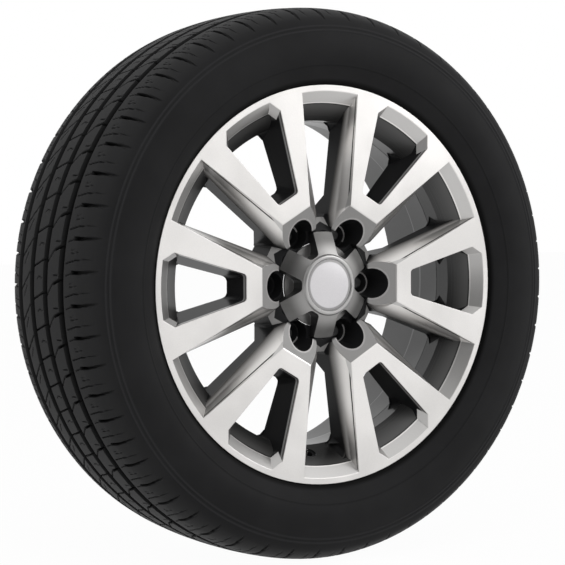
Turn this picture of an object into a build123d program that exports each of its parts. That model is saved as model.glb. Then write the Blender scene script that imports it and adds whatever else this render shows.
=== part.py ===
from build123d import *
import os
from math import cos, radians, sin, tan

# Road wheel with its tyre, for a six-stud hub. Millimetres.
# Frame: origin at the wheel centre, axle along Y, styled face towards -Y, Z up.
# Profiles are drawn in the XY plane, X as radius and Y along the axle, then turned about Y.

# Rim
seat_radius = 228.6         # bead seat, 18 inch
rim_width = 177.8           # between the flanges, 7 inch
flange_height = 17.5
flange_curl = 9.5           # radius of the rolled flange
flange_land = 1.25          # flat outside the curl, out to the face
heel_radius = 7.0           # corner between seat and flange
seat_length = 20.0          # flange to hump
seat_taper = 1.3            # fall of the seat over its length
hump_height = 1.2
hump_length = 8.0
hump_foot = 1.0             # level stretch between hump and well
well_depth = 19.5
well_ramp = 20.0            # axial length of the outboard ramp into the well
well_width = 30.0
inner_ramp = 24.0           # axial length of the inboard ramp out of the well
barrel_wall = 6.0
lip_width = 7.1             # flat lip round the windows
lip_bevel_depth = 11.5
lip_bevel_drop = 14.5

# Spoked face
stud_count = 6
stud_circle = 139.7
stud_hole_radius = 7.25
nut_seat_radius = 12.0
nut_pocket_mouth = 21.3
nut_pocket_floor = 14.0
nut_pocket_depth = 42.0     # face to pocket floor
hub_offset = 32.0           # mounting face outboard of the wheel centre
hub_bore_radius = 53.05
hub_pad_radius = 86.0
core_inner = 60.0           # lightening pockets in the hub's back, between the studs
core_outer = 79.0
core_inner_half = 9.0
core_outer_half = 16.0
core_round = 5.0
core_depth = 22.0
core_taper = 4.0            # degrees
spoke_back_inner = 36.0     # face to the back of a spoke near the hub
spoke_back_outer = 47.0     # face to the back of a spoke at the rim
spoke_root_radius = 112.0
dish_apothem = 100.5        # edge where the nut pads start
dish_slope = 24.7           # degrees
arm_half_width = 23.0       # parallel part of an arm, beside the nut pocket

# Small windows, one outside each stud
small_inner = 122.0
small_inner_half = 16.0
small_shoulder = 221.0
small_shoulder_half = 44.0
small_outer_half = 33.85
small_end_radius = 5.0
small_corner_radius = 6.0   # rounded corners of the opening behind the bevel
small_bevel = 9.0           # bevel across the outer corners
small_draft = 8.0           # degrees, sides of the opening

# Large windows, between the studs
large_outer_half = 41.0
large_throat = 88.0         # start of the opening behind the hub facet
large_throat_half = 9.0
large_flank_depth = 18.0    # face to the foot of the broad flank
large_throat_step = 4.0      # setback of the throat behind the facet
large_throat_depth = 27.0
large_middle = 140.0        # outer end of the stepped throat

# Both windows
window_round = 8.0          # corners where an opening's sides meet the rim slope

# Valve hole
valve_hole_radius = 5.65
valve_spot_radius = 9.5
valve_spot_depth = 1.5
valve_tilt = 62.0           # degrees from the axle
valve_place = 0.62          # share of the way down the outboard barrel slope
valve_angle = -92.5         # round the axle from +X

# Cap
cap_across = 132.0          # over opposite arms
cap_arm_width = 28.0
cap_centre_radius = 39.0
cap_root_radius = 6.0
cap_arm_level = 18.0        # face to the end of an arm
cap_slope = 24.5            # degrees
cap_wall = 2.6
cap_skirt = 9.0             # depth of the walls below the arm ends
cap_gap = 0.5               # gap to the hub round the arms
cap_floor_gap = 0.3
ring_outer = 38.0
ring_inner = 32.0
ring_rise = 3.0
ring_crown = 0.8            # share of the rise at the ring's outer corner
ring_lip = 0.6              # share of the rise at the recess edge
badge_thickness = 2.4
badge_dome = 1.6
badge_gap = 0.25
leg_count = 6
leg_width = 12.0
leg_thickness = 2.6
leg_reach = 12.0            # into the hub bore
leg_gap = 0.4
barb_rise = 0.9
barb_length = 4.0
barb_gap = 0.3
wire_radius = 1.0           # half the thickness of the square wire
wire_gap = 0.15

# Tyre
tyre_radius = 346.0
section_width = 233.0
widest_radius = 291.0
tread_half = 76.0
tread_drop = 4.0
shoulder_radius = 315.0
shoulder_half = 110.5
shoulder_bulge_radius = 328.5
shoulder_bulge_half = 107.0
lower_radius = 264.0
lower_half = 108.7
bead_gap = 0.3
bead_lip_rise = 3.0         # foot of the sidewall above the flange edge
bead_lip_gap = 0.5          # foot of the sidewall outboard of the rim face
bead_toe_rise = 2.0
bead_toe_slant = 1.3
bead_back_radius = 243.0
bead_back_half = 72.6
crown_thickness = 16.0
crown_inner_half = 74.0
sidewall_thickness = 9.5
lower_thickness = 11.9
shoulder_thickness = 11.5
groove_centres = (-50.2, -11.7, 24.4, 60.9)     # wider shoulder outboard
groove_top = 9.5
groove_bottom = 7.0
groove_depth = 8.0
slot_count = 60
slot_width = 6.0
slot_lift = 4.0             # outer end of a slot above the shoulder's foot
slot_start = 73.0           # inner end of a shoulder slot, from the tyre's middle
slot_outboard = 1.4         # degrees, first slot of the outboard shoulder
slot_inboard = 4.4
pitch_wave = 1.6            # degrees by which the slot pitch is made uneven
pitch_waves = 4             # round the tread
pitch_start = 190.0         # degrees, crest of one wave

# Cutters
cut_clear = 1.0             # how far a cutter runs past the surface it opens

# Places worked out from the sizes above
half_rim = rim_width / 2
flange_radius = seat_radius + flange_height
curl_radius = flange_radius - flange_curl
face_y = -(half_rim + flange_curl + flange_land)
pad_y = -hub_offset
lip_radius = flange_radius - lip_width
bevel_radius = lip_radius - lip_bevel_drop
bevel_y = face_y + lip_bevel_depth
well_radius = seat_radius - well_depth
hump_y = half_rim - seat_length
well_start = -(hump_y - hump_length - hump_foot)
well_floor_start = well_start + well_ramp
well_floor_end = well_floor_start + well_width
ramp_end = well_floor_end + inner_ramp
barrel_radius = seat_radius - seat_taper - barrel_wall
bore_radius = well_radius - barrel_wall
slope_end = well_floor_start - barrel_wall
stud_ring = stud_circle / 2
step = 360 / stud_count
far = flange_radius + flange_height     # outside every window
floor_depth = cap_arm_level + cap_skirt + cap_floor_gap
leg_end = face_y + floor_depth + leg_reach
leg_outer = hub_bore_radius - leg_gap
leg_inner = leg_outer - leg_thickness


def turned(edges):
    return revolve(make_face(edges), Axis.Y)


def chain(*points):
    return Polyline(*points).edges()


def along_axle(angle=0.0, depth=0.0):
    """Plane across the axle below the face: local x outward at the angle, z inboard."""
    turn = radians(angle)
    return Plane(origin=(0, face_y + depth, 0), x_dir=(cos(turn), 0, sin(turn)), z_dir=(0, 1, 0))


def around(shape):
    """Copies of a shape at every stud, turned about the axle from +X towards +Z."""
    return [shape.rotate(Axis.Y, -step * i) for i in range(stud_count)]


def bead_seat_points(gap):
    """Flange tip, rolled curl and heel of one side, moved off the rim by a gap."""
    curl_y = half_rim + flange_curl
    roll = (flange_curl + gap) * sin(radians(45))
    return [
        (flange_radius + gap, curl_y),
        (curl_radius + roll, curl_y - roll),
        (curl_radius, half_rim - gap),
        (curl_radius - heel_radius + gap, half_rim - heel_radius),
    ]


def rim_barrel():
    """Rim section: flanges, seats, humps and drop well outside, bevelled lip and bore inside."""
    def seat_edges(side):
        edges = chain(
            *bead_seat_points(0.0),
            (seat_radius - seat_taper / 4, hump_y),
            (seat_radius + hump_height, hump_y - hump_length / 2),
            (seat_radius - seat_taper, hump_y - hump_length),
        )
        return edges if side > 0 else [mirror(e, Plane.XZ) for e in edges]

    seat_foot = (seat_radius - seat_taper, hump_y - hump_length)
    well = chain(
        (seat_foot[0], -seat_foot[1]),
        (seat_foot[0], well_start),
        (well_radius, well_floor_start),
        (well_radius, well_floor_end),
        (seat_foot[0], ramp_end),
        seat_foot,
    )
    inside = chain(
        (flange_radius, half_rim + flange_curl),
        (flange_radius, -face_y),
        (curl_radius, -face_y),
        (barrel_radius, half_rim - heel_radius),
        (barrel_radius, ramp_end),
        (bore_radius, well_floor_end),
        (bore_radius, slope_end),
        (bevel_radius, bevel_y),
        (lip_radius, face_y),
        (flange_radius, face_y),
        (flange_radius, -half_rim - flange_curl),
    )
    return turned([*seat_edges(-1), *well, *seat_edges(1), *inside])


def spoke_disc():
    """Solid disc behind the styled face, reaching into the rim section all round."""
    inside_rim = barrel_wall / 2
    return turned(chain(
        (hub_bore_radius, pad_y),
        (hub_pad_radius, pad_y),
        (spoke_root_radius, face_y + spoke_back_inner),
        (bore_radius + inside_rim, face_y + spoke_back_outer),
        (bevel_radius + inside_rim, bevel_y),
        (lip_radius + inside_rim, face_y),
        (hub_bore_radius, face_y),
        (hub_bore_radius, pad_y),
    ))


def moved_in(points, steps):
    """Polygon with each edge moved inwards by its own step; edge i runs from point i to i + 1."""
    count = len(points)
    lines = []
    for i in range(count):
        start = Vector(*points[i])
        way = (Vector(*points[(i + 1) % count]) - start).normalized()
        lines.append((start + Vector(-way.Y, way.X) * steps[i], way))
    corners = []
    for i in range(count):
        (p, u), (q, v) = lines[i - 1], lines[i]
        gap = q - p
        t = (gap.X * v.Y - gap.Y * v.X) / (u.X * v.Y - u.Y * v.X)
        corners.append((p.X + u.X * t, p.Y + u.Y * t))
    return corners


def section(points, angle, depth):
    return along_axle(angle, depth) * make_face(Polyline(*points, close=True))


def rounded_in_rim(cutter):
    """Cutter kept inside the rim slope, with its two outer corners rounded."""
    fall = (bevel_radius - bore_radius) / (slope_end - bevel_y)
    deep = pad_y + cut_clear - face_y
    end_radius = bevel_radius - fall * (deep - lip_bevel_depth)
    bowl = below_face((0, lip_bevel_depth), (bevel_radius, lip_bevel_depth), (end_radius, deep), (0, deep))
    kept = cutter & bowl
    corners = []
    for edge in kept.edges():
        ends = edge.vertices()
        outside = min((v.X**2 + v.Z**2) ** 0.5 for v in ends) > end_radius - cut_clear
        if outside and abs(ends[0].Y - ends[-1].Y) > barrel_wall:
            corners.append(edge)
    return fillet(corners, window_round)


def small_window():
    """Six-sided window: bevelled outer corners, drafted sides, rounded inner end."""
    run_out = (far - small_shoulder) / (lip_radius - small_shoulder)
    tip_half = small_shoulder_half - (small_shoulder_half - small_outer_half) * run_out
    outline = [
        (small_inner, -small_inner_half),
        (small_shoulder, -small_shoulder_half),
        (far, -tip_half),
        (far, tip_half),
        (small_shoulder, small_shoulder_half),
        (small_inner, small_inner_half),
    ]
    side = lip_bevel_depth * tan(radians(small_draft))
    foot = moved_in(outline, (side, small_bevel, 0, small_bevel, side, side))
    bevel = loft([section(outline, 0, 0), section(foot, 0, lip_bevel_depth)], ruled=True)
    ends = [e for e in bevel.edges() if e.center().X < small_inner + side and abs(e.center().Z) > side]
    bevel = fillet(ends, small_end_radius)
    opening = make_face(Polyline(*foot, close=True))
    corners = [v for v in opening.vertices() if v.X < small_shoulder]
    opening = along_axle(0, lip_bevel_depth) * fillet(corners, small_corner_radius)
    return bevel + extrude(opening, amount=spoke_back_outer, taper=small_draft)


def large_window():
    """Tall window: broad flanks off the face, a facet at the hub, then a plain opening."""
    half_step = radians(step / 2)
    hub_edge = cap_across / 2 + cap_gap
    hub_half = hub_edge * tan(half_step) - arm_half_width / cos(half_step)
    corner = dish_apothem * cos(half_step) + arm_half_width * sin(half_step)
    corner_half = corner * tan(half_step) - arm_half_width / cos(half_step)
    lip_along = (lip_radius**2 - large_outer_half**2) ** 0.5
    far_half = corner_half + (large_outer_half - corner_half) * (far - corner) / (lip_along - corner)
    throat = large_throat - large_throat_step
    narrow = large_throat_half - large_throat_step / 2
    foot = (large_throat, large_throat_half)
    slant = (far_half - large_throat_half) / (far - large_throat)
    middle = (large_middle, large_throat_half + slant * (large_middle - large_throat))

    def level(depth, *half):
        return section([(a, -b) for a, b in half] + list(half[::-1]), step / 2, depth)

    hub_foot = level(large_flank_depth, (hub_edge, hub_half), foot, middle)
    face = level(0, (hub_edge, hub_half), (corner, corner_half), (far, far_half))
    flanks = loft([face, level(large_flank_depth, (hub_edge, hub_half), foot, (far, far_half))], ruled=True)
    stepped = loft([hub_foot, level(large_throat_depth, (throat, narrow), foot, middle)], ruled=True)
    opening = level(large_flank_depth, (throat, narrow), foot, (far, far_half))
    return flanks + stepped + rounded_in_rim(extrude(opening, amount=pad_y - face_y))


def nut_pocket():
    """Tapered socket pocket, coned nut seat and stud hole of one stud."""
    seat_depth = nut_seat_radius - stud_hole_radius
    floor = face_y + nut_pocket_depth
    profile = chain(
        (0, face_y - cut_clear),
        (nut_pocket_mouth, face_y - cut_clear),
        (nut_pocket_floor, floor),
        (nut_seat_radius, floor),
        (stud_hole_radius, floor + seat_depth),
        (stud_hole_radius, pad_y + cut_clear),
        (0, pad_y + cut_clear),
        (0, face_y - cut_clear),
    )
    return turned(profile).translate((stud_ring, 0, 0))


def hub_core():
    """Lightening pocket in the mounting face, midway between two studs."""
    outline = FilletPolyline(
        (core_inner, -core_inner_half), (core_outer, -core_outer_half),
        (core_outer, core_outer_half), (core_inner, core_inner_half),
        radius=core_round, close=True,
    )
    mouth = along_axle(step / 2, pad_y - face_y) * make_face(outline)
    return extrude(mouth, amount=-core_depth, taper=core_taper)


def valve_hole():
    """Valve hole with its spot face, square to the outboard barrel slope."""
    along = Vector(bore_radius - bevel_radius, slope_end - bevel_y)
    place = Vector(bevel_radius, bevel_y) + along * valve_place
    tilt = radians(valve_tilt)
    out = Vector(-sin(tilt), -cos(tilt))
    hole_plane = Plane(origin=(place.X, place.Y, 0), z_dir=(out.X, out.Y, 0))
    reach = well_depth + barrel_wall
    hole = hole_plane * Cylinder(valve_hole_radius, 2 * reach)
    spot = hole_plane * Cylinder(valve_spot_radius, reach, align=(Align.CENTER, Align.CENTER, Align.MIN))
    spot = spot.translate(-out * valve_spot_depth)
    return (hole + spot).rotate(Axis.Y, -valve_angle)


def alloy_wheel():
    dish_mouth = dish_apothem + cut_clear / tan(radians(dish_slope))
    dish = extrude(
        along_axle(step / 2, -cut_clear) * RegularPolygon(dish_mouth, stud_count, major_radius=False),
        amount=floor_depth, taper=90 - dish_slope,
    )
    recess_apothem = cap_across / 2 + cap_gap
    recess = extrude(
        along_axle(0, -cut_clear) * RegularPolygon(recess_apothem, stud_count, major_radius=False),
        amount=floor_depth + cut_clear,
    )
    disc = spoke_disc() - [dish, recess]
    disc -= around(small_window()) + around(large_window()) + around(nut_pocket()) + around(hub_core())
    groove_floor = hub_bore_radius + barb_rise + barb_gap
    groove_start = leg_end - barb_length
    groove_end = leg_end + barb_gap
    groove = turned(chain(
        (hub_bore_radius - cut_clear, groove_start), (groove_floor, groove_start),
        (groove_floor, groove_end), (hub_bore_radius - cut_clear, groove_end),
        (hub_bore_radius - cut_clear, groove_start),
    ))
    return rim_barrel() + (disc - groove) - valve_hole()


def cap_outline(shrink=0.0):
    """Six arms crossing at the middle, with rounded roots, in a flat plane."""
    star = Circle(cap_centre_radius - shrink)
    for i in range(stud_count // 2):
        bar = Rectangle(cap_across - 2 * shrink, cap_arm_width - 2 * shrink)
        star += Rot(0, 0, step / 2 + step * i) * bar
    roots = [v for v in star.vertices() if Vector(v).length < cap_across / 2 - cap_root_radius]
    return fillet(roots, cap_root_radius)


def cap_depth(radius):
    """Depth of the cap's sloping arms below the wheel face."""
    return cap_arm_level - (cap_across / 2 - radius) * tan(radians(cap_slope))


def below_face(*points):
    """Closed chain of (radius, depth below the wheel face) points, turned about the axle."""
    places = [(radius, face_y + depth) for radius, depth in points]
    return turned(chain(*places, places[0]))


def centre_cap():
    """Moulded cap: sloping arms, rounded ring round the badge recess, skirt and clip legs."""
    skirt_end = cap_arm_level + cap_skirt
    ring_foot = cap_depth(ring_outer)
    ring_top = ring_foot - ring_rise
    ring_half = (ring_outer - ring_inner) / 2
    recess_floor = ring_top + badge_dome + badge_thickness
    edge = cap_across / 2 + cap_gap
    front = below_face(
        (ring_outer, ring_foot), (ring_outer - ring_half / 2, ring_foot - ring_rise * ring_crown),
        (ring_outer - ring_half, ring_top), (ring_inner + ring_half / 3, ring_top),
        (ring_inner, ring_foot - ring_rise * ring_lip), (ring_inner, recess_floor), (0, recess_floor),
        (0, skirt_end), (edge, skirt_end), (edge, cap_depth(edge)),
    )
    under = cap_wall / cos(radians(cap_slope))
    roof = recess_floor + cap_wall
    flat_end = ring_outer + (roof - ring_foot - under) / tan(radians(cap_slope))
    inside = below_face(
        (0, roof), (flat_end, roof), (edge, cap_depth(edge) + under),
        (edge, skirt_end + cut_clear), (0, skirt_end + cut_clear),
    )
    tall = skirt_end + 2 * cut_clear
    shell = extrude(along_axle() * cap_outline(), amount=tall) & front
    shell -= extrude(along_axle() * cap_outline(cap_wall), amount=tall) & inside
    plug_top = skirt_end - cap_wall
    plug = below_face((0, plug_top), (leg_outer, plug_top), (leg_outer, skirt_end), (0, skirt_end))
    return shell + plug + clip_legs()


def clip_legs():
    """Legs under the plug, barbed outside and hooked inside for the spring ring."""
    top = face_y + cap_arm_level + cap_skirt - cap_wall / 2
    hook = leg_inner - wire_radius
    hook_top = leg_end - leg_thickness / 2
    ring = turned(chain(
        (leg_outer, top), (leg_outer, leg_end - barb_length + barb_gap),
        (hub_bore_radius + barb_rise, leg_end - barb_length / 2), (leg_outer - leg_gap, leg_end),
        (hook, leg_end), (hook, hook_top), (leg_inner, hook_top), (leg_inner, top), (leg_outer, top),
    ))
    bar = Box(leg_width, 2 * floor_depth, 2 * hub_bore_radius + 2 * barb_length)
    turns = [90 - step / 2 - 2 * step * i for i in range(leg_count // 2)]
    return [ring & (Pos(0, leg_end, 0) * Rot(0, turn, 0) * bar) for turn in turns]


def cap_badge():
    """Plain domed disc set in the cap's recess."""
    radius = ring_inner - badge_gap
    top = cap_depth(ring_outer) - ring_rise
    back = top + badge_dome + badge_thickness
    ball = (radius**2 + badge_dome**2) / (2 * badge_dome)
    disc = below_face((0, top), (radius, top), (radius, back), (0, back))
    return disc & Pos(0, face_y + top + ball, 0) * Sphere(ball)


def cap_spring_ring():
    """Square wire ring that spreads the clip legs."""
    y = leg_end - leg_thickness / 2 - wire_radius - wire_gap
    centre = leg_inner - wire_radius - wire_gap
    return revolve(Pos(centre, y, 0) * Rectangle(2 * wire_radius, 2 * wire_radius), Axis.Y)


def tyre():
    """Hollow moulded tyre: crown, shoulders, sidewalls and beads, then grooves and shoulder slots."""
    half = section_width / 2
    edge_radius = tyre_radius - tread_drop
    liner_radius = tyre_radius - crown_thickness

    def side_edges(side):
        top = (shoulder_radius, shoulder_half)
        foot = (lower_radius, lower_half)
        wall = ThreePointArc(top, (widest_radius, half), foot)
        shoulder = chain((edge_radius, tread_half), (shoulder_bulge_radius, shoulder_bulge_half), top)
        bead = chain(
            foot,
            (flange_radius + bead_lip_rise, -face_y + bead_lip_gap),
            *bead_seat_points(bead_gap),
            (seat_radius + bead_gap, hump_y + bead_toe_slant),
            (seat_radius + bead_toe_rise, hump_y),
            (bead_back_radius, bead_back_half),
            (lower_radius, lower_half - lower_thickness),
            (widest_radius, half - sidewall_thickness),
            (shoulder_radius, shoulder_half - shoulder_thickness),
            (liner_radius, crown_inner_half),
        )
        edges = [*shoulder, wall, *bead]
        return edges if side > 0 else [mirror(e, Plane.XZ) for e in edges]

    crown = ThreePointArc((edge_radius, -tread_half), (tyre_radius, 0), (edge_radius, tread_half))
    liner = chain((liner_radius, crown_inner_half), (liner_radius, -crown_inner_half))
    body = turned([crown, *side_edges(1), *liner, *side_edges(-1)])
    return body - tread_grooves() - shoulder_slots()


def tread_level(offset):
    """Radius of the crown at a distance from the tyre's middle."""
    return tyre_radius - tread_drop * (offset / tread_half) ** 2


def tread_grooves():
    rings = []
    for y in groove_centres:
        top = tread_level(y) + cut_clear
        floor = tread_level(y) - groove_depth
        rings.append(turned(chain(
            (top, y - groove_top / 2), (floor, y - groove_bottom / 2), (floor, y + groove_bottom / 2),
            (top, y + groove_top / 2), (top, y - groove_top / 2),
        )))
    return rings


def slots_around(slot, first):
    """Copies of a slot round the tread, their pitch uneven in slow waves."""
    copies = []
    for i in range(slot_count):
        even = first + 360 / slot_count * i
        uneven = even + pitch_wave * cos(radians(pitch_waves * (even - pitch_start)))
        copies.append(slot.rotate(Axis.Y, -uneven))
    return copies


def shoulder_slots():
    """Slots across both shoulders, their floors straight chords under the rounded edge."""
    inner = (tread_level(slot_start), slot_start)
    outer = (shoulder_radius + slot_lift, shoulder_half - slot_lift / 4)
    clear = tyre_radius + slot_lift
    slot = extrude(make_face(chain(
        inner, outer, (outer[0], section_width / 2), (clear, section_width / 2), (clear, slot_start), inner,
    )), amount=slot_width / 2, both=True)
    return slots_around(slot, slot_inboard) + slots_around(mirror(slot, Plane.XZ), slot_outboard)


os.makedirs("parts", exist_ok=True)
export_step(alloy_wheel(), "parts/alloy_wheel.step")
export_step(tyre(), "parts/tyre.step")
export_step(centre_cap(), "parts/centre_cap.step")
export_step(cap_badge(), "parts/cap_badge.step")
export_step(cap_spring_ring(), "parts/cap_spring_ring.step")
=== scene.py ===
import bmesh
import bpy
import numpy as np
from math import cos, pi, radians, sin
from mathutils import Matrix, Vector


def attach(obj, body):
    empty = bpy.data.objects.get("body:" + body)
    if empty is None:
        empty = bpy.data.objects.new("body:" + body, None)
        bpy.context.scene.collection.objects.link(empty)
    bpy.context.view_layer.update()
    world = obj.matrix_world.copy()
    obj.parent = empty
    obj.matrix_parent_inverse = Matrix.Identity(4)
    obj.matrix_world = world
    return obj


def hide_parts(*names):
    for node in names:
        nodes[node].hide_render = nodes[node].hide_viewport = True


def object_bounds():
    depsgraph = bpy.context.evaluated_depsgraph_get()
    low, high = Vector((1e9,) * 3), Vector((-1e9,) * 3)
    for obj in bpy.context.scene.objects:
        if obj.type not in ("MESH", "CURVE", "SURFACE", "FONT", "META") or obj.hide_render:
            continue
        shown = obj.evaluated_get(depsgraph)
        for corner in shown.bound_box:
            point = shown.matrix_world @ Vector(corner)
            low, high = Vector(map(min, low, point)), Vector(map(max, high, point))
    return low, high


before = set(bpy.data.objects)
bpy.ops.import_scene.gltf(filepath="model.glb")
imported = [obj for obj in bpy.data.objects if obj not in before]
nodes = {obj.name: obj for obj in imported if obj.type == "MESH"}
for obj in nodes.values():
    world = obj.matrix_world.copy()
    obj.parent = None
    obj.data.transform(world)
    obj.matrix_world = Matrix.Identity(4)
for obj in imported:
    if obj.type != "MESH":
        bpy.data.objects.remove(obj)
cadLow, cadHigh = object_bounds()
scene = bpy.context.scene
scene.view_settings.view_transform = "Standard"
print("frame loaded:", ", ".join(sorted(nodes)))

mm = 0.001
spokePairs = 6  # the wheel's face repeats this often round the axle
faceY = min(corner[1] for corner in nodes["alloy_wheel"].bound_box) / mm  # styled face of the wheel


# Node helpers

def newMaterial(name):
    mat = bpy.data.materials.new(name)
    mat.use_nodes = True
    tree = mat.node_tree
    return mat, tree, tree.nodes["Principled BSDF"]


def addNode(tree, kind, **values):
    node = tree.nodes.new(kind)
    for key, value in values.items():
        if key.startswith("in_"):
            node.inputs[key.removeprefix("in_")].default_value = value
        else:
            setattr(node, key, value)
    return node


def wire(tree, source, target):
    tree.links.new(source, target)


def maths(tree, operation, a, b=0.0, clamp=False):
    node = addNode(tree, "ShaderNodeMath", operation=operation, use_clamp=clamp)
    for i, value in enumerate((a, b)):
        if isinstance(value, (int, float)):
            node.inputs[i].default_value = value
        else:
            wire(tree, value, node.inputs[i])
    return node.outputs[0]


def ramp(tree, value, low, high):  # 0 below low, 1 above high
    node = addNode(tree, "ShaderNodeMapRange", interpolation_type="SMOOTHSTEP")
    wire(tree, value, node.inputs["Value"])
    node.inputs["From Min"].default_value = low
    node.inputs["From Max"].default_value = high
    return node.outputs["Result"]


def blendColour(tree, share, a, b):
    node = addNode(tree, "ShaderNodeMix", data_type="RGBA")
    if isinstance(share, float):
        node.inputs["Factor"].default_value = share
    else:
        wire(tree, share, node.inputs["Factor"])
    for slotIndex, colour in ((6, a), (7, b)):
        if isinstance(colour, tuple):
            node.inputs[slotIndex].default_value = (*colour, 1)
        else:
            wire(tree, colour, node.inputs[slotIndex])
    return node.outputs[2]


def objectPlace(tree):
    coords = addNode(tree, "ShaderNodeTexCoord")
    return coords.outputs["Object"]


def splitPlace(tree, vector):  # the vector's three parts as outputs
    parts = addNode(tree, "ShaderNodeSeparateXYZ")
    wire(tree, vector, parts.inputs[0])
    return parts.outputs


def millimetres(tree, place):  # the place's three parts in mm
    return [maths(tree, "MULTIPLY", part, 1 / mm) for part in splitPlace(tree, place)]


def reach(tree, a, b):  # length of the two parts together
    squares = [maths(tree, "MULTIPLY", part, part) for part in (a, b)]
    return maths(tree, "SQRT", maths(tree, "ADD", *squares))


def noise(tree, place, scale, detail=3.0, roughness=0.55):
    node = addNode(tree, "ShaderNodeTexNoise", in_Scale=scale, in_Detail=detail, in_Roughness=roughness)
    wire(tree, place, node.inputs["Vector"])
    return node.outputs["Fac"]


def softEdges(tree, shader, radius):
    soft = addNode(tree, "ShaderNodeBevel", samples=6, in_Radius=radius)
    wire(tree, soft.outputs["Normal"], shader.inputs["Normal"])


# Mesh helpers

def cellQuads(rows, cols):  # one quad for each cell of a grid whose columns close
    i, j = np.meshgrid(np.arange(rows - 1), np.arange(cols), indexing="ij")
    k = (j + 1) % cols
    corners = [i * cols + j, i * cols + k, (i + 1) * cols + k, (i + 1) * cols + j]
    return np.stack(corners, axis=-1).reshape(-1, 4)


def gridPiece(name, grid, cut, sharp):
    # rows x columns x 3 points, columns closed round the axle, each cell one quad facing out
    rows, cols = grid.shape[:2]
    quads = cellQuads(rows, cols)
    mesh = bpy.data.meshes.new(name)
    mesh.vertices.add(rows * cols)
    mesh.vertices.foreach_set("co", np.ascontiguousarray(grid, dtype=np.float32).ravel())
    mesh.loops.add(quads.size)
    mesh.loops.foreach_set("vertex_index", quads.astype(np.int32).ravel())
    mesh.polygons.add(len(quads))
    mesh.polygons.foreach_set("loop_start", np.arange(0, quads.size, 4, dtype=np.int32))
    mesh.update(calc_edges=True)
    # the cut share per point, which the rubber paints as shade
    layer = mesh.attributes.new("cut", "FLOAT", "POINT")
    layer.data.foreach_set("value", np.ascontiguousarray(cut, dtype=np.float32).ravel())
    mesh.shade_smooth()
    mesh.set_sharp_from_angle(angle=radians(sharp))
    piece = bpy.data.objects.new(name, mesh)
    scene.collection.objects.link(piece)
    print("piece", name, len(quads) * 2, "triangles")
    return piece


def stackPiece(name, grids, sharp=35):
    # many grids of one size in one mesh, columns closed, end rows drawn to a point
    points = np.stack(grids)
    count, rows, cols = points.shape[:3]
    one = cellQuads(rows, cols)
    quads = (one[None] + (np.arange(count) * rows * cols)[:, None, None]).reshape(-1, 4)
    mesh = bpy.data.meshes.new(name)
    mesh.from_pydata(points.reshape(-1, 3).tolist(), [], quads.tolist())
    work = bmesh.new()
    work.from_mesh(mesh)
    bmesh.ops.remove_doubles(work, verts=work.verts, dist=1e-7)
    bmesh.ops.recalc_face_normals(work, faces=work.faces)
    work.to_mesh(mesh)
    work.free()
    mesh.shade_smooth()
    mesh.set_sharp_from_angle(angle=radians(sharp))
    piece = bpy.data.objects.new(name, mesh)
    scene.collection.objects.link(piece)
    print("piece", name, sum(len(p.vertices) - 2 for p in mesh.polygons), "triangles")
    return piece


def smoothCurve(knots, count):
    # points on a curve through the knots: cubic pieces with chord-length slopes, as rows of two values
    knots = np.array(knots, dtype=float)
    t = np.concatenate([[0], np.cumsum(np.hypot(*np.diff(knots, axis=0).T))])
    h = np.diff(t)[:, None]
    rise = np.diff(knots, axis=0) / h
    m = np.vstack([rise[:1], (rise[:-1] * h[1:] + rise[1:] * h[:-1]) / (h[1:] + h[:-1]), rise[-1:]])
    s = np.linspace(0, t[-1], count)
    k = np.clip(np.searchsorted(t, s, side="right") - 1, 0, len(t) - 2)
    u = ((s - t[k]) / h[k, 0])[:, None]
    width = h[k]
    points = ((1 + 2 * u) * (1 - u) ** 2 * knots[k] + u * (1 - u) ** 2 * width * m[k]
              + u ** 2 * (3 - 2 * u) * knots[k + 1] + u ** 2 * (u - 1) * width * m[k + 1])
    return points


# Tyre

tyre = {
    "pitches": 60,
    "columnsPerPitch": 30,
    "pitchWave": radians(1.6), "pitchWaves": 4, "pitchPeak": radians(190),  # uneven pitch round the turn
    "phaseOut": radians(1.4), "phaseIn": radians(4.4),
    "radius": 346.0,
    # half section from the middle of the tread to the rim, as (distance from the middle, radius)
    "outline": [(0, 345.84), (25, 345.5), (50, 344.3), (72, 342.3), (82, 340.6), (91, 337.6), (99.5, 333.0),
                (106.0, 327.3), (109.3, 320.5), (111.2, 314.0), (114.6, 303.0), (116.4, 291.0),
                (115.6, 279.0), (112.4, 269.0), (107.2, 258.5), (102.4, 251.4), (100.4, 248.7)],
    "bead": [(98.8, 247.0), (95.2, 243.6), (91.2, 240.2), (88.6, 235.8), (87.0, 231.4), (81.8, 229.0),
             (70.2, 228.9), (68.9, 230.6), (72.6, 243.0), (96.8, 264.0), (107.0, 291.0), (99.0, 315.0),
             (74.0, 330.0), (40.0, 330.0)],
    "grooves": (-50.2, -11.7, 24.4, 60.9), "grooveTop": 6.2, "grooveFloor": 5.0, "grooveDepth": 8.0,
    "splitOut": 57.6, "splitIn": 68.3, "shoulderEnd": 108.6,
    "ringRadii": (317.0, 312.0), "ringHeight": 0.9, "ringWidth": 1.1,
    "fineRing": 269.5, "fineRingHeight": 0.5, "fineRingWidth": 0.8, "fineRingShade": 0.4,
    "rimShade": (250.0, 254.0),
    "profilePoints": 1200, "treadPoints": 850,  # of these, the first ones, short of the widest place
    "outerRows": 42, "innerRows": 36, "ribSplit": 6.0, "ribStep": 1.9,
    "grooveSpare": (0.5, 0.8),  # extra rows outside each groove's edge and inside its floor
    "sideRows": 86, "sideColumns": 480, "sideLap": 0.4, "treadSharp": 32, "sideSharp": 50,
    "strokeSoft": 0.5, "fullShadeDepth": 5.0,  # width of a stroke's wall, and the depth painted darkest as groove shade
}
profile = smoothCurve(tyre["outline"], tyre["profilePoints"])
profileLength = np.concatenate([[0], np.cumsum(np.hypot(*np.diff(profile, axis=0).T))])
profileSlope = np.gradient(profile, profileLength, axis=0)


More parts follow.
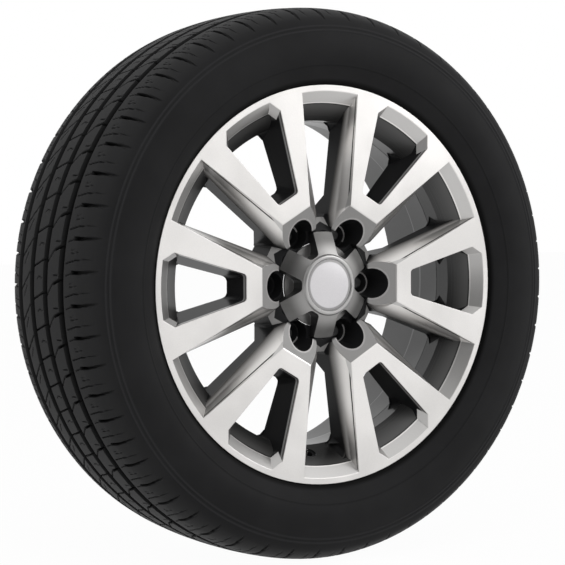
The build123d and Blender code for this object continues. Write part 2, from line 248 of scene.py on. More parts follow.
def tyreSection(s):
    # signed arc length from the tread's middle: across, radius, and the outward normal of the section
    a = np.abs(s)
    side = np.where(s < 0, -1.0, 1.0)
    across = np.interp(a, profileLength, profile[:, 0])
    radius = np.interp(a, profileLength, profile[:, 1])
    da = np.interp(a, profileLength, profileSlope[:, 0])
    dr = np.interp(a, profileLength, profileSlope[:, 1])
    size = np.hypot(da, dr)
    return side * across, radius, side * -dr / size, da / size


def arcAt(across):  # arc length where the section is this far from the middle
    count = tyre["treadPoints"]
    return np.interp(across, profile[:count, 0], profileLength[:count])


def pitchAngles(phase):
    # column angles: even steps, then pulled by a slow wave so that the blocks differ in length
    count = tyre["pitches"] * tyre["columnsPerPitch"]
    even = np.arange(count) * 2 * np.pi / count + phase
    return even + tyre["pitchWave"] * np.cos(tyre["pitchWaves"] * (even - tyre["pitchPeak"]))


def runsAlong(value, t):  # a pair of values runs from one to the other
    return value[0] + (value[1] - value[0]) * t if isinstance(value, tuple) else value


def strokeDepth(p, across, start, end, width, depth):
    # valley along a straight stroke between two (pitch share, across) ends, repeated every pitch
    length = 2 * np.pi * tyre["radius"] / tyre["pitches"]
    best = np.zeros(np.broadcast(p, across).shape)
    a, b = np.array(start, float) * (length, 1), np.array(end, float) * (length, 1)
    way = b - a
    for turn in (-1, 0, 1):
        dx, dy = (p + turn) * length - a[0], across - a[1]
        t = np.clip((dx * way[0] + dy * way[1]) / (way @ way), 0, 1)
        gap = np.hypot(dx - t * way[0], dy - t * way[1])
        half, deep = runsAlong(width, t), runsAlong(depth, t)
        best = np.maximum(best, deep * np.clip((half - gap) / tyre["strokeSoft"] + 0.5, 0, 1))
    return best


# strokes of one pitch: start, end, half width, depth; a pair of values runs along the stroke
shoulderStrokes = [
    ((0.00, 74.2), (-0.015, 90.7), (1.9, 1.6), (6.0, 4.0)),
    ((-0.015, 90.7), (-0.055, 106.5), (1.6, 0.8), (4.2, 1.0)),
    ((0.010, 90.7), (0.030, 103.5), (0.6, 0.4), (1.8, 0.3)),
    ((0.10, 61.8), (0.015, 74.5), 0.5, 1.8),
    ((0.74, 60.8), (0.64, 77.5), 0.55, 2.2),
    ((0.64, 77.5), (0.58, 103.5), 0.55, (2.2, 0.5)),
    ((0.44, 70.0), (0.40, 82.5), 0.45, 1.4),
    ((0.33, 69.5), (0.31, 77.0), 0.45, 1.2),
]
ribStrokes = [
    ((0.25, -45.2), (0.36, -32.2), (1.5, 1.2), 4.5),
    ((0.08, -45.2), (0.11, -31.7), 0.5, 1.8),
    ((0.11, -31.7), (0.34, -31.7), 0.5, 1.8),
    ((0.37, -30.7), (0.74, -16.2), 0.6, 2.4),
    ((0.64, -7.2), (0.86, 19.8), (0.85, 0.7), 3.5),
    ((0.20, -2.7), (0.16, 5.3), 0.5, 1.5),
    ((0.16, 5.3), (0.24, 10.3), 0.5, 1.5),
    ((0.00, 28.8), (0.62, 56.8), 0.7, 3.0),
    ((0.45, 39.3), (0.80, 48.3), 0.5, 1.5),
]


def grooveDepth(across):
    # trapezoid valley across each main groove
    deep = np.zeros_like(across)
    for centre in tyre["grooves"]:
        gap = np.abs(across - centre)
        share = (tyre["grooveTop"] - gap) / (tyre["grooveTop"] - tyre["grooveFloor"])
        deep = np.maximum(deep, tyre["grooveDepth"] * np.clip(share, 0, 1))
    return deep


def treadRows(low, high, step):
    # rows by arc length, with extra ones at both edges and feet of every groove between them
    edges = []
    top, floor = tyre["grooveTop"], tyre["grooveFloor"]
    above, inside = tyre["grooveSpare"]
    for centre in tyre["grooves"]:
        for offset in (top + above, top, floor, floor - inside):
            edges += [centre - offset, centre + offset]
        edges.append(centre)
    marks = np.array([low, *sorted(e for e in edges if low < e < high), high])
    rows = []
    for a, b in zip(marks[:-1], marks[1:]):
        count = max(2, int(np.ceil((b - a) / step)) + 1)
        rows.append(np.linspace(a, b, count)[:-1])
    return np.concatenate([*rows, [high]])


def ringPoints(angles, across, radius):
    # each row turned about the axle
    y = np.broadcast_to(across, radius.shape)
    return np.stack([radius * np.cos(angles), y, radius * np.sin(angles)], axis=-1) * mm


def treadPiece(name, s, strokes, phase, side):
    # the tread's rows and the pitch columns, sunk along the section's normal by grooves and strokes
    across, radius, na, nr = (v[:, None] for v in tyreSection(s))
    angles = pitchAngles(phase)[None, :]
    perPitch = tyre["columnsPerPitch"]
    p = (np.arange(perPitch) / perPitch)[None, :]
    depth = grooveDepth(across) + np.zeros_like(p)
    for start, end, width, deep in strokes:
        depth = np.maximum(depth, strokeDepth(p, across * side, start, end, width, deep))
    depth = np.tile(depth, (1, tyre["pitches"]))
    grid = ringPoints(angles, across - na * depth, radius - nr * depth)
    # the deeper a groove or stroke, the darker its floor is painted, a painted shade
    return gridPiece(name, grid, np.clip(depth / tyre["fullShadeDepth"], 0, 1), tyre["treadSharp"])


splitOut, splitIn = arcAt(tyre["splitOut"]), arcAt(tyre["splitIn"])
shoulderEnd = arcAt(tyre["shoulderEnd"])
outerRows = np.linspace(-shoulderEnd, -splitOut, tyre["outerRows"])
innerRows = np.linspace(splitIn, shoulderEnd, tyre["innerRows"])
outerRibRows = treadRows(-splitOut, tyre["ribSplit"], tyre["ribStep"])
innerRibRows = treadRows(tyre["ribSplit"], splitIn, tyre["ribStep"])
shoulderOut = treadPiece("tyre_shoulder_outer", outerRows, shoulderStrokes, tyre["phaseOut"], -1)
ribsOut = treadPiece("tyre_ribs_outer", outerRibRows, ribStrokes, tyre["phaseOut"], 1)
ribsIn = treadPiece("tyre_ribs_inner", innerRibRows, ribStrokes, tyre["phaseOut"], 1)
shoulderIn = treadPiece("tyre_shoulder_inner", innerRows, shoulderStrokes, tyre["phaseIn"], 1)


def sidewallPiece():
    # loop down one sidewall, round both beads and the liner, and up the other sidewall
    s = np.linspace(shoulderEnd - tyre["sideLap"], profileLength[-1], tyre["sideRows"])
    across, radius, na, nr = tyreSection(s)
    rings = sum(np.exp(-((radius - place) / tyre["ringWidth"]) ** 2) for place in tyre["ringRadii"])
    fine = np.exp(-((radius - tyre["fineRing"]) / tyre["fineRingWidth"]) ** 2)
    lift = tyre["ringHeight"] * rings + tyre["fineRingHeight"] * fine
    low, high = tyre["rimShade"]
    shade = np.clip((high - radius) / (high - low), 0, 1)
    cut = shade + tyre["fineRingShade"] * fine - rings  # below 0 paints the raised rings lighter
    side = np.stack([across + na * lift, radius + nr * lift, cut], axis=-1)
    # the beads and the liner take the darkest painted shade
    bead = np.array([(*point, 1.0) for point in tyre["bead"]])
    half = np.vstack([side, bead])
    other = half[::-1] * (-1, 1, 1)
    loop = np.vstack([half, other])
    angles = np.linspace(0, 2 * np.pi, tyre["sideColumns"], endpoint=False)[None, :]
    grid = ringPoints(angles, loop[:, :1], loop[:, 1:2] + np.zeros_like(angles))
    return gridPiece("tyre_sidewalls", grid, loop[:, 2:] + np.zeros_like(angles), tyre["sideSharp"])


sidewalls = sidewallPiece()
tyrePieces = [shoulderOut, ribsOut, ribsIn, shoulderIn, sidewalls]

rubberLook = {
    # the second colour is the painted shade in the grooves, at the rim and on the beads
    "colour": (0.0125, 0.0125, 0.013), "cutShadeColour": (0.0015, 0.0015, 0.0015),
    "ringColour": (0.021, 0.021, 0.022),
    "treadSheenColour": (0.021, 0.021, 0.0215), "treadSheenFrom": (318.0, 336.0),  # paler from sidewall to tread, a painted sheen on the tread
    "cloud": 14.0, "cloudBand": (0.3, 0.7), "cloudLift": 1.25, "ringBand": (-0.1, -0.8),
    "grain": 900.0, "grainDetail": 2.0, "grainShare": 0.14, "bump": 0.12, "bumpHeight": 0.0004,
    "roughness": 0.48, "specular": 0.07,
}


def rubberMaterial():
    look = rubberLook
    mat, tree, shader = newMaterial("tyreRubber")
    place = objectPlace(tree)
    cut = addNode(tree, "ShaderNodeAttribute", attribute_name="cut").outputs["Fac"]
    cloud = ramp(tree, noise(tree, place, look["cloud"]), *look["cloudBand"])
    plain = blendColour(tree, cloud, look["colour"], tuple(c * look["cloudLift"] for c in look["colour"]))
    x, y, z = millimetres(tree, place)
    radius = reach(tree, x, z)
    # paler tread, a painted sheen
    plain = blendColour(tree, ramp(tree, radius, *look["treadSheenFrom"]), plain, look["treadSheenColour"])
    plain = blendColour(tree, ramp(tree, cut, *look["ringBand"]), plain, look["ringColour"])
    # darker by the cut share: painted shade in the grooves, at the rim and on the beads
    sunk = maths(tree, "MULTIPLY", cut, 1.0, clamp=True)
    wire(tree, blendColour(tree, sunk, plain, look["cutShadeColour"]), shader.inputs["Base Color"])
    grain = noise(tree, place, look["grain"], look["grainDetail"])
    rough = maths(tree, "ADD", maths(tree, "MULTIPLY", grain, look["grainShare"]), look["roughness"])
    wire(tree, rough, shader.inputs["Roughness"])
    bump = addNode(tree, "ShaderNodeBump", in_Strength=look["bump"], in_Distance=look["bumpHeight"])
    wire(tree, grain, bump.inputs["Height"])
    wire(tree, bump.outputs["Normal"], shader.inputs["Normal"])
    shader.inputs["Specular IOR Level"].default_value = look["specular"]
    return mat


rubber = rubberMaterial()
for piece in tyrePieces:
    piece.data.materials.append(rubber)
    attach(piece, "root")
    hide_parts("tyre")
print("tyre done")


# Rim slope and rounded window corners, over the wheel's own solid

slope = {
    # radius and depth below the face
    "profile": [(224.3, 11.7), (203.5, 30.0), (203.3, 54.0), (206.5, 54.0), (224.9, 12.6)],
    "arc": (-75.5, 255.5),  # leaves out the valve hole's window, ends in the spokes
    "stations": 332, "steps": 9,
}
corner = {
    "bore": 203.4,
    # line along a window's side: half width, where, slant
    "small": {"first": 0, "line": (16.0, 122.0, 0.2828), "draft": 0.146},
    "large": {"first": 30, "line": (9.0, 88.0, 0.1948), "draft": 0.0},
    "outerRound": (0.8, 10.0), "outerDepth": (30.0, 46.2),
    "innerRound": (5.0, 8.0), "innerDepth": (13.0, 37.2), "innerStart": 122.0, "innerDraft": 0.1405,
    "rows": 9, "columns": 14, "sink": 0.4,
}


def capped(grid):  # end rows drawn to their middle
    first, last = (np.broadcast_to(grid[i].mean(axis=0), grid[i].shape)[None] for i in (0, -1))
    return np.concatenate([first, grid, last])


def slopePiece():
    # closed profile turned about the axle
    ends = np.array([*slope["profile"], slope["profile"][0]])
    loop = np.vstack([np.linspace(a, b, slope["steps"])[:-1] for a, b in zip(ends[:-1], ends[1:])])
    angles = np.radians(np.linspace(*slope["arc"], slope["stations"]))[:, None]
    radius, depth = loop[None, :, 0] + 0 * angles, loop[None, :, 1] + 0 * angles
    return stackPiece("rim_slope", [capped(ringPoints(angles, depth + faceY, radius))])


def cornerPieces():
    # in each corner of a window: tangent arc of radius R between its two walls, carried down the depth
    rows, cols = corner["rows"], corner["columns"]
    t = np.linspace(0, 1, rows)
    grids = []

    def fan(first, second, apex, centre):
        # rows x columns x 2: one tangent point, round the arc to the other, then the apex
        a0 = np.arctan2(first[:, 1] - centre[:, 1], first[:, 0] - centre[:, 0])
        a1 = np.arctan2(second[:, 1] - centre[:, 1], second[:, 0] - centre[:, 0])
        turn = (a1 - a0 + np.pi) % (2 * np.pi) - np.pi
        size = np.hypot(*(first - centre).T)
        angle = a0[:, None] + turn[:, None] * np.linspace(0, 1, cols)[None, :]
        arc = centre[:, None] + np.stack([np.cos(angle), np.sin(angle)], axis=-1) * size[:, None, None]
        out = (apex - centre) / np.hypot(*(apex - centre).T)[:, None]
        ends = np.stack([arc[:, 0], arc[:, -1]], axis=1) + out[:, None] * corner["sink"]
        tip = apex + out * corner["sink"]
        return np.concatenate([ends[:, :1], arc, ends[:, 1:], tip[:, None]], axis=1)

    for kind in ("small", "large"):
        half, start, slant = corner[kind]["line"]
        stretch = np.hypot(1, slant)
        depth = np.interp(t, [0, 1], corner["outerDepth"])
        bend = np.interp(t, [0, 1], corner["outerRound"])
        level = half - corner[kind]["draft"] * depth - slant * start  # across = level + slant * along
        bore = corner["bore"]

        def meet(offset, radius):  # where the side line, moved in by the offset, crosses a circle
            base = level - offset * stretch
            along = (-slant * base + np.sqrt((1 + slant ** 2) * radius ** 2 - base ** 2)) / (1 + slant ** 2)
            return np.stack([along, base + slant * along], axis=-1)

        apex, centre = meet(0, bore + 0 * t), meet(bend, bore - bend)
        first = centre + np.array([-slant, 1]) / stretch * bend[:, None]
        second = centre * (bore / (bore - bend))[:, None]
        outlines = [(fan(first, second, apex, centre), depth)]
        if kind == "small":
            depth = np.interp(t, [0, 1], corner["innerDepth"])
            bend = np.interp(t, [0, 1], corner["innerRound"])
            level = half - corner[kind]["draft"] * depth - slant * start
            wall = corner["innerStart"] + corner["innerDraft"] * depth
            centre = np.stack([wall + bend, level + slant * (wall + bend) - bend * stretch], axis=-1)
            apex = np.stack([wall, level + slant * wall], axis=-1)
            first = np.stack([wall, centre[:, 1]], axis=-1)
            second = centre + np.array([-slant, 1]) / stretch * bend[:, None]
            outlines.append((fan(first, second, apex, centre), depth))
        for outline, deep in outlines:
            for side in (1, -1):
                for turn in np.radians(corner[kind]["first"] + 360 / spokePairs * np.arange(spokePairs)):
                    along, across = outline[..., 0], side * outline[..., 1]
                    x = along * np.cos(turn) - across * np.sin(turn)
                    z = along * np.sin(turn) + across * np.cos(turn)
                    y = np.broadcast_to(deep[:, None] + faceY, x.shape)
                    grids.append(np.stack([x, y, z], axis=-1) * mm)
    return stackPiece("window_corners", [capped(grid) for grid in grids])


rimSlope = slopePiece()
windowCorners = cornerPieces()
for piece in (rimSlope, windowCorners):
    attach(piece, "root")
print("rim slope and window corners done")


# Wheel, cap and badge keep their solids

alloyLook = {
    "face": (0.80, 0.782, 0.765), "faceDull": (0.67, 0.655, 0.64),
    # the pad tone is a painted shade for the dark surroundings the sloping hub pads reflect
    "lip": (0.56, 0.55, 0.54), "pad": (0.25, 0.245, 0.24),
    # the flank's foot and the small windows' side walls darken with the depth as painted shade
    "flankTop": (0.78, 0.76, 0.74), "flankFootShade": (0.06, 0.057, 0.054), "side": (0.40, 0.393, 0.386),
    # the near black is partly the windows' dark paint and partly painted shade in the deep walls and
    # pockets; the line colour is for painted dark reflection lines along edges
    "black": (0.012, 0.012, 0.0125), "line": (0.03, 0.03, 0.03),
    # the barrel tone is painted shade inside the barrel, and its ring colour a painted highlight at the
    # well's steps
    "barrel": (0.16, 0.16, 0.16), "barrelRing": (0.30, 0.30, 0.30), "back": (0.24, 0.24, 0.24),
    # the rim colour is a painted highlight round the mouths of the nut pockets
    "rim": (0.36, 0.35, 0.345), "edge": 0.0009, "roughness": 0.3, "metallic": 0.85,
    "metalBand": (0.25, 0.5), "glossBand": (0.015, 0.15), "gloss": (0.4, 0.1),  # by the paint's brightness
    "cloud": 7.0, "cloudBand": (0.35, 0.65), "flake": 1600.0, "flakeBand": (0.3, 0.7), "flakeShare": 0.06,
    "flakeDetail": 2.0,
    # where each tone begins and is full: depths and radii in mm, folded angle in degrees
    "below": (0.4, 0.8), "padEnd": (104.0, 106.0), "window": (15.3, 15.7),
    "flankShadeFade": (4.0, 19.0), "flankEnd": (17.0, 21.0), "sideShadeFade": (5.0, 6.5), "sideTopHighlight": (1.2, 1.8),
    "lipEnd": (11.3, 11.6), "lipEdgeHighlight": (10.2, 10.8), "slopeFrom": (11.4, 11.6), "slopeFoot": 34.0,
    "barrelFrom": (53.0, 54.5), "barrelIn": (195.0, 198.0), "rearFrom": (30.0, 32.0),
    "ledgeFrom": (3.0, 3.5), "ledgeIn": (106.0, 107.0), "mouthRimHighlight": (1.4, 2.2),
    "pocketOut": (21.6, 22.0), "pocketFrom": (2.0, 2.5),
    "recessOut": (67.5, 68.5), "recessFrom": (15.0, 16.5),
    # how far the surface faces forward, from 1 to -1
    "facing": (0.84, 0.88), "walled": (0.79, 0.84), "bevelled": (0.4, 0.5), "backward": (-0.2, -0.3),
    # middle and half width of each line, by depth: painted dark reflection lines on the walls, painted
    # highlight rings in the barrel
    "flankReflectionLine": (2.3, 0.5), "sideReflectionLine": (2.2, 0.5), "barrelRings": ((90.0, 1.8), (114.0, 1.8)),
    # radius at the face and its fall with the depth
    "lipCone": (239.0, 1.261), "slopeCone": (230.32, 0.5065), "mouth": (21.13, 0.1698),
    "stud": 69.85, "coneBand": (0.5, 0.9),
}


def both(tree, *shares):
    total = shares[0]
    for share in shares[1:]:
        total = maths(tree, "MULTIPLY", total, share)
    return total


def flip(tree, share):
    return maths(tree, "SUBTRACT", 1.0, share)


def band(tree, value, middle, half):  # 1 within half of the middle, fading over a third more
    off = maths(tree, "ABSOLUTE", maths(tree, "SUBTRACT", value, middle))
    return flip(tree, ramp(tree, off, half, half * 1.35))


def nearCone(tree, radius, depth, start, fall):  # 1 on the cone whose radius falls from start with the depth
    cone = maths(tree, "SUBTRACT", start, maths(tree, "MULTIPLY", depth, fall))
    off = maths(tree, "SUBTRACT", radius, cone)
    return flip(tree, ramp(tree, maths(tree, "ABSOLUTE", off), *alloyLook["coneBand"]))


slopeLook = {
    # the slope's tones: painted shade darkening from the lip to the foot, and a painted shade line under it
    "top": (0.06, 0.059, 0.058), "foot": (0.012, 0.012, 0.012), "line": (0.01, 0.01, 0.01),
    "lip": 11.5, "footDepth": 30.0, "lineEnd": (12.3, 12.9), "roughness": 0.28,
    "stripes": 1.6, "stripeDetail": 2.0, "stripeBand": (0.4, 0.7), "stripeShare": 0.35,
}


def slopeTone(tree, depth, foot):
    # painted shade, darker from the lip down to the foot's depth, striped, with a fine painted shade line
    # under the lip
    look = slopeLook
    colour = blendColour(tree, ramp(tree, depth, look["lip"], foot), look["top"], look["foot"])
    stripes = addNode(tree, "ShaderNodeTexNoise", noise_dimensions="1D",
                      in_Scale=look["stripes"], in_Detail=look["stripeDetail"])
    wire(tree, depth, stripes.inputs["W"])
    striped = ramp(tree, stripes.outputs["Fac"], *look["stripeBand"])
    share = maths(tree, "MULTIPLY", striped, look["stripeShare"])
    colour = blendColour(tree, share, colour, look["top"])
    return blendColour(tree, flip(tree, ramp(tree, depth, *look["lineEnd"])), colour, look["line"])


def alloyMaterial():
    # paint by place: depth below the face, radius, folded angle, and the surface's own direction, with
    # painted shade deepening into the windows, barrel and pockets, partly the windows' dark paint, and
    # painted highlights and dark reflection lines along edges
    look = alloyLook
    mat, tree, shader = newMaterial("wheelSilver")
    coords = addNode(tree, "ShaderNodeTexCoord")
    place = coords.outputs["Object"]
    normal = splitPlace(tree, coords.outputs["Normal"])
    x, y, z = millimetres(tree, place)
    depth = maths(tree, "SUBTRACT", y, faceY)
    radius = reach(tree, x, z)
    fold = maths(tree, "PINGPONG", maths(tree, "ARCTAN2", z, x), radians(180 / spokePairs))
    along = maths(tree, "MULTIPLY", radius, maths(tree, "COSINE", fold))
    across = maths(tree, "MULTIPLY", radius, maths(tree, "SINE", fold))
    front = maths(tree, "MULTIPLY", normal["Y"], -1.0)

    cloud = ramp(tree, noise(tree, place, look["cloud"]), *look["cloudBand"])
    colour = blendColour(tree, cloud, look["face"], look["faceDull"])
    below = ramp(tree, depth, *look["below"])
    facing = ramp(tree, front, *look["facing"])
    # darker pads, a painted shade
    pad = both(tree, below, flip(tree, ramp(tree, radius, *look["padEnd"])), facing)
    colour = blendColour(tree, pad, colour, look["pad"])
    wall = both(tree, below, flip(tree, ramp(tree, front, *look["walled"])))
    large = ramp(tree, fold, *(radians(angle) for angle in look["window"]))
    # window walls: painted shade deepening with the depth to near black, partly the windows' dark paint,
    # with painted dark reflection lines and a painted highlight band along the top edge
    flank = blendColour(tree, ramp(tree, depth, *look["flankShadeFade"]), look["flankTop"], look["flankFootShade"])
    flank = blendColour(tree, ramp(tree, depth, *look["flankEnd"]), flank, look["black"])
    flank = blendColour(tree, band(tree, depth, *look["flankReflectionLine"]), flank, look["line"])
    side = blendColour(tree, ramp(tree, depth, *look["sideShadeFade"]), look["side"], look["black"])
    side = blendColour(tree, band(tree, depth, *look["sideReflectionLine"]), side, look["line"])
    side = blendColour(tree, flip(tree, ramp(tree, depth, *look["sideTopHighlight"])), side, look["face"])
    side = blendColour(tree, ramp(tree, front, *look["bevelled"]), side, look["lip"])
    colour = blendColour(tree, wall, colour, blendColour(tree, large, side, flank))
    lipCone = nearCone(tree, radius, depth, *look["lipCone"])
    lip = both(tree, lipCone, flip(tree, ramp(tree, depth, *look["lipEnd"])), below)
    # painted highlight band at the lip's inner edge
    lipWithHighlight = blendColour(tree, ramp(tree, depth, *look["lipEdgeHighlight"]), look["lip"], look["face"])
    colour = blendColour(tree, lip, colour, lipWithHighlight)
    # slope: painted shade, darker down into the windows
    slopeCone = nearCone(tree, radius, depth, *look["slopeCone"])
    sloped = both(tree, slopeCone, ramp(tree, depth, *look["slopeFrom"]))
    colour = blendColour(tree, sloped, colour, slopeTone(tree, depth, look["slopeFoot"]))
    # barrel: painted shade, with painted highlight rings at its steps
    barrel = both(tree, ramp(tree, depth, *look["barrelFrom"]), ramp(tree, radius, *look["barrelIn"]))
    rings = maths(tree, "MAXIMUM", *(band(tree, depth, *ring) for ring in look["barrelRings"]))
    colour = blendColour(tree, barrel, colour, blendColour(tree, rings, look["barrel"], look["barrelRing"]))
    rear = both(tree, ramp(tree, front, *look["backward"]), ramp(tree, depth, *look["rearFrom"]))
    colour = blendColour(tree, rear, colour, look["back"])
    offStud = maths(tree, "SUBTRACT", along, look["stud"])
    toStud = reach(tree, offStud, across)
    mouthRadius, mouthFall = look["mouth"]
    mouth = maths(tree, "SUBTRACT", mouthRadius, maths(tree, "MULTIPLY", depth, mouthFall))
    offMouth = maths(tree, "SUBTRACT", toStud, mouth)
    # painted highlight round each nut pocket's mouth
    rim = both(tree, pad, flip(tree, ramp(tree, offMouth, *look["mouthRimHighlight"])))
    colour = blendColour(tree, rim, colour, look["rim"])
    # ledges facing forward deep in the windows: painted near black, a painted shade
    ledgeShade = both(tree, ramp(tree, depth, *look["ledgeFrom"]), ramp(tree, radius, *look["ledgeIn"]), facing)
    colour = blendColour(tree, ledgeShade, colour, look["black"])
    # nut pockets and centre recess near black: partly dark paint, partly painted shade
    pocket = both(tree, flip(tree, ramp(tree, toStud, *look["pocketOut"])),
                  ramp(tree, depth, *look["pocketFrom"]), flip(tree, pad))
    recess = both(tree, flip(tree, ramp(tree, along, *look["recessOut"])),
                  ramp(tree, depth, *look["recessFrom"]), flip(tree, rear))
    pocket = maths(tree, "MAXIMUM", pocket, recess)
    colour = blendColour(tree, pocket, colour, look["black"])

    flake = ramp(tree, noise(tree, place, look["flake"], look["flakeDetail"]), *look["flakeBand"])
    flaked = blendColour(tree, look["flakeShare"], colour, (0, 0, 0))
    wire(tree, blendColour(tree, flake, colour, flaked), shader.inputs["Base Color"])
    toGrey = addNode(tree, "ShaderNodeRGBToBW")
    wire(tree, colour, toGrey.inputs[0])
    bright = toGrey.outputs[0]
    metal = maths(tree, "MULTIPLY", ramp(tree, bright, *look["metalBand"]), look["metallic"])
    wire(tree, metal, shader.inputs["Metallic"])
    glossRise, glossLeast = look["gloss"]
    gloss = maths(tree, "MULTIPLY", ramp(tree, bright, *look["glossBand"]), glossRise)
    wire(tree, maths(tree, "ADD", gloss, glossLeast), shader.inputs["Specular IOR Level"])
    shader.inputs["Roughness"].default_value = look["roughness"]
    softEdges(tree, shader, look["edge"])
    return mat


def slopeMaterial():
    # dark glossy slope with turned stripes and painted shade, lighter towards the lip
    mat, tree, shader = newMaterial("rimSlopeShaded")
    depth = maths(tree, "SUBTRACT", millimetres(tree, objectPlace(tree))[1], faceY)
    wire(tree, slopeTone(tree, depth, slopeLook["footDepth"]), shader.inputs["Base Color"])
    shader.inputs["Roughness"].default_value = slopeLook["roughness"]
    return mat


springLook = {
    "colour": (0.45, 0.45, 0.46), "dull": 0.92, "grain": 700.0, "grainBand": (0.3, 0.7),
    "roughness": 0.35, "metallic": 1.0, "edge": 0.0005,
}


def springMaterial():
    look = springLook
    mat, tree, shader = newMaterial("springSteel")
    grain = ramp(tree, noise(tree, objectPlace(tree), look["grain"]), *look["grainBand"])
    dull = tuple(c * look["dull"] for c in look["colour"])
    wire(tree, blendColour(tree, grain, look["colour"], dull), shader.inputs["Base Color"])
    shader.inputs["Roughness"].default_value = look["roughness"]
    shader.inputs["Metallic"].default_value = look["metallic"]
    softEdges(tree, shader, look["edge"])
    return mat


capLook = {
    "top": (0.12, 0.118, 0.115), "inner": (0.30, 0.295, 0.29), "ring": (0.42, 0.415, 0.41),
    "wall": (0.014, 0.014, 0.014), "edge": 0.0007, "roughness": 0.32, "metallic": 0.85,
    "cloud": 60.0, "cloudBand": (0.3, 0.7), "dull": 0.85,
    "innerEnd": (40.0, 58.0), "ringEnd": (37.6, 38.1), "wallIn": (38.4, 39.0), "facing": (0.3, 0.5),
}


def capMaterial():
    # satin grey on the arms, lighter towards the middle as a painted highlight, a lighter ring round the
    # badge and near-black walls between the arms
    look = capLook
    mat, tree, shader = newMaterial("capGrey")
    coords = addNode(tree, "ShaderNodeTexCoord")
    place = coords.outputs["Object"]
    normal = splitPlace(tree, coords.outputs["Normal"])
    x, y, z = millimetres(tree, place)
    radius = reach(tree, x, z)
    front = maths(tree, "MULTIPLY", normal["Y"], -1.0)
    cloud = ramp(tree, noise(tree, place, look["cloud"]), *look["cloudBand"])
    colour = blendColour(tree, cloud, look["top"], tuple(c * look["dull"] for c in look["top"]))
    # lighter towards the middle, a painted highlight
    colour = blendColour(tree, flip(tree, ramp(tree, radius, *look["innerEnd"])), colour, look["inner"])
    colour = blendColour(tree, flip(tree, ramp(tree, radius, *look["ringEnd"])), colour, look["ring"])
    wall = both(tree, flip(tree, ramp(tree, front, *look["facing"])), ramp(tree, radius, *look["wallIn"]))
    colour = blendColour(tree, wall, colour, look["wall"])
    wire(tree, colour, shader.inputs["Base Color"])
    wire(tree, maths(tree, "MULTIPLY", flip(tree, wall), look["metallic"]), shader.inputs["Metallic"])
    shader.inputs["Roughness"].default_value = look["roughness"]
    softEdges(tree, shader, look["edge"])
    return mat


badgeLook = {
    "pale": (0.66, 0.645, 0.66), "edge": (0.30, 0.295, 0.295), "edgeBand": (27.6, 29.2),
    "grain": 700.0, "grainBand": (0.3, 0.7), "dull": 0.94, "roughness": 0.25, "metallic": 0.5,
}


def badgeMaterial():
    # pale disc with a greyer band round its edge
    look = badgeLook
    mat, tree, shader = newMaterial("badgeSilver")
    place = objectPlace(tree)
    x, y, z = millimetres(tree, place)
    radius = reach(tree, x, z)
    grain = ramp(tree, noise(tree, place, look["grain"]), *look["grainBand"])
    colour = blendColour(tree, grain, look["pale"], tuple(c * look["dull"] for c in look["pale"]))
    colour = blendColour(tree, ramp(tree, radius, *look["edgeBand"]), colour, look["edge"])
    wire(tree, colour, shader.inputs["Base Color"])
    shader.inputs["Roughness"].default_value = look["roughness"]
    shader.inputs["Metallic"].default_value = look["metallic"]
    return mat


def dress(nodeName, mat):
    data = nodes[nodeName].data
    data.materials.clear()
    data.materials.append(mat)


wheelSilver = alloyMaterial()
dress("alloy_wheel", wheelSilver)
windowCorners.data.materials.append(wheelSilver)
rimSlope.data.materials.append(slopeMaterial())
dress("centre_cap", capMaterial())
dress("cap_badge", badgeMaterial())
dress("cap_spring_ring", springMaterial())
print("wheel and cap dressed")


# Floor, light and camera

studio = {
    "floor": (0.93, 0.93, 0.93), "floorGlow": 0.97, "floorHalf": 12.0, "floorGap": 0.0002, "floorRough": 0.9,
    "fill": 0.4,
    "key": {"place": (-2.0, -3.4, 3.6), "size": 4.5, "power": 130.0, "mirrored": False},
    "side": {"place": (3.4, -3.0, 2.0), "size": 3.5, "power": 60.0, "mirrored": True},
    # dim card behind the camera, seen in gloss only
    "card": {"far": 3.2, "radius": 4.0, "dark": 1.6, "tone": 0.12, "sides": 64},
}
camera = {  # place and aim in metres from the middle of the wheel's face
    "place": (-1.3083, -1.9430, 0.0956), "aim": (-0.0707, 0.0004, 0.0050), "roll": -0.3207, "lens": 121.10,
}


def seenShare(tree):  # 1 for rays from the camera, from gloss and through glass
    rays = addNode(tree, "ShaderNodeLightPath")
    mirrored = maths(tree, "MAXIMUM", rays.outputs["Is Glossy Ray"], rays.outputs["Is Transmission Ray"])
    return maths(tree, "MAXIMUM", rays.outputs["Is Camera Ray"], mirrored)


def makeFloor():
    half, z = studio["floorHalf"], cadLow.z - studio["floorGap"]
    mesh = bpy.data.meshes.new("floor")
    corners = [(-half, -half, z), (half, -half, z), (half, half, z), (-half, half, z)]
    mesh.from_pydata(corners, [], [(0, 1, 2, 3)])
    floor = bpy.data.objects.new("floor", mesh)
    scene.collection.objects.link(floor)
    mat, tree, shader = newMaterial("paleFloor")
    shader.inputs["Base Color"].default_value = (*studio["floor"], 1)
    shader.inputs["Roughness"].default_value = studio["floorRough"]
    shader.inputs["Specular IOR Level"].default_value = 0.0
    glow = addNode(tree, "ShaderNodeEmission")
    mix = addNode(tree, "ShaderNodeMixShader")
    wire(tree, maths(tree, "MULTIPLY", seenShare(tree), studio["floorGlow"]), mix.inputs[0])
    wire(tree, shader.outputs[0], mix.inputs[1])
    wire(tree, glow.outputs[0], mix.inputs[2])
    wire(tree, mix.outputs[0], tree.nodes["Material Output"].inputs["Surface"])
    mesh.materials.append(mat)


def makeWorld():
    world = bpy.data.worlds.new("studio")
    world.use_nodes = True
    tree = world.node_tree
    back = tree.nodes["Background"]
    back.inputs["Color"].default_value = (1, 1, 1, 1)
    strength = addNode(tree, "ShaderNodeMapRange")
    wire(tree, seenShare(tree), strength.inputs["Value"])
    strength.inputs["To Min"].default_value = studio["fill"]
    wire(tree, strength.outputs["Result"], back.inputs["Strength"])
    scene.world = world


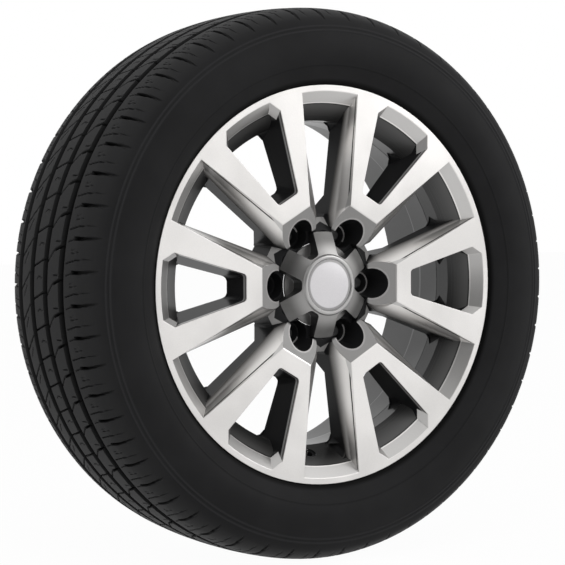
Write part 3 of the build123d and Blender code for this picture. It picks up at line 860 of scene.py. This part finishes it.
def makeLamp(name):
    look = studio[name]
    data = bpy.data.lights.new(name, "AREA")
    data.shape = "DISK"
    data.size = look["size"]
    data.energy = look["power"]
    lamp = bpy.data.objects.new(name, data)
    lamp.location = look["place"]
    lamp.visible_glossy = look["mirrored"]
    lamp.rotation_mode = "QUATERNION"
    lamp.rotation_quaternion = (-Vector(look["place"])).to_track_quat("-Z", "Y")
    scene.collection.objects.link(lamp)


def makeCamera():
    data = bpy.data.cameras.new("camera")
    data.lens = camera["lens"]
    data.clip_end = 100
    cam = bpy.data.objects.new("camera", data)
    face = Vector((0, faceY * mm, 0))
    place, aim = Vector(camera["place"]) + face, Vector(camera["aim"]) + face
    ahead = (aim - place).normalized()
    right = ahead.cross(Vector((0, 0, 1))).normalized()
    up = right.cross(ahead)
    turn = radians(camera["roll"])
    side, top = right * cos(turn) + up * sin(turn), up * cos(turn) - right * sin(turn)
    cam.matrix_world = Matrix.Translation(place) @ Matrix((side, top, -ahead)).transposed().to_4x4()
    scene.collection.objects.link(cam)
    scene.camera = cam


def makeCard():
    look = studio["card"]
    toCamera = Vector(camera["place"]).normalized()
    turns = [2 * pi * i / look["sides"] for i in range(look["sides"])]
    mesh = bpy.data.meshes.new("card")
    edge = [(look["radius"] * cos(t), look["radius"] * sin(t), 0) for t in turns]
    mesh.from_pydata(edge, [], [tuple(range(look["sides"]))])
    card = bpy.data.objects.new("card", mesh)
    card.location = toCamera * look["far"]
    card.rotation_mode = "QUATERNION"
    card.rotation_quaternion = toCamera.to_track_quat("-Z", "Y")
    scene.collection.objects.link(card)
    for ray in ("camera", "diffuse", "transmission", "volume_scatter", "shadow"):
        setattr(card, "visible_" + ray, False)
    mat, tree, shader = newMaterial("cardFade")
    away = addNode(tree, "ShaderNodeVectorMath", operation="LENGTH")
    wire(tree, objectPlace(tree), away.inputs[0])
    glow = addNode(tree, "ShaderNodeEmission")
    share = ramp(tree, away.outputs["Value"], look["dark"], look["radius"])
    faded = maths(tree, "MULTIPLY", share, 1 - look["tone"])
    wire(tree, maths(tree, "ADD", faded, look["tone"]), glow.inputs["Strength"])
    wire(tree, glow.outputs[0], tree.nodes["Material Output"].inputs["Surface"])
    mesh.materials.append(mat)


makeFloor()
makeCard()
makeWorld()
makeLamp("key")
makeLamp("side")
makeCamera()
print("studio done")
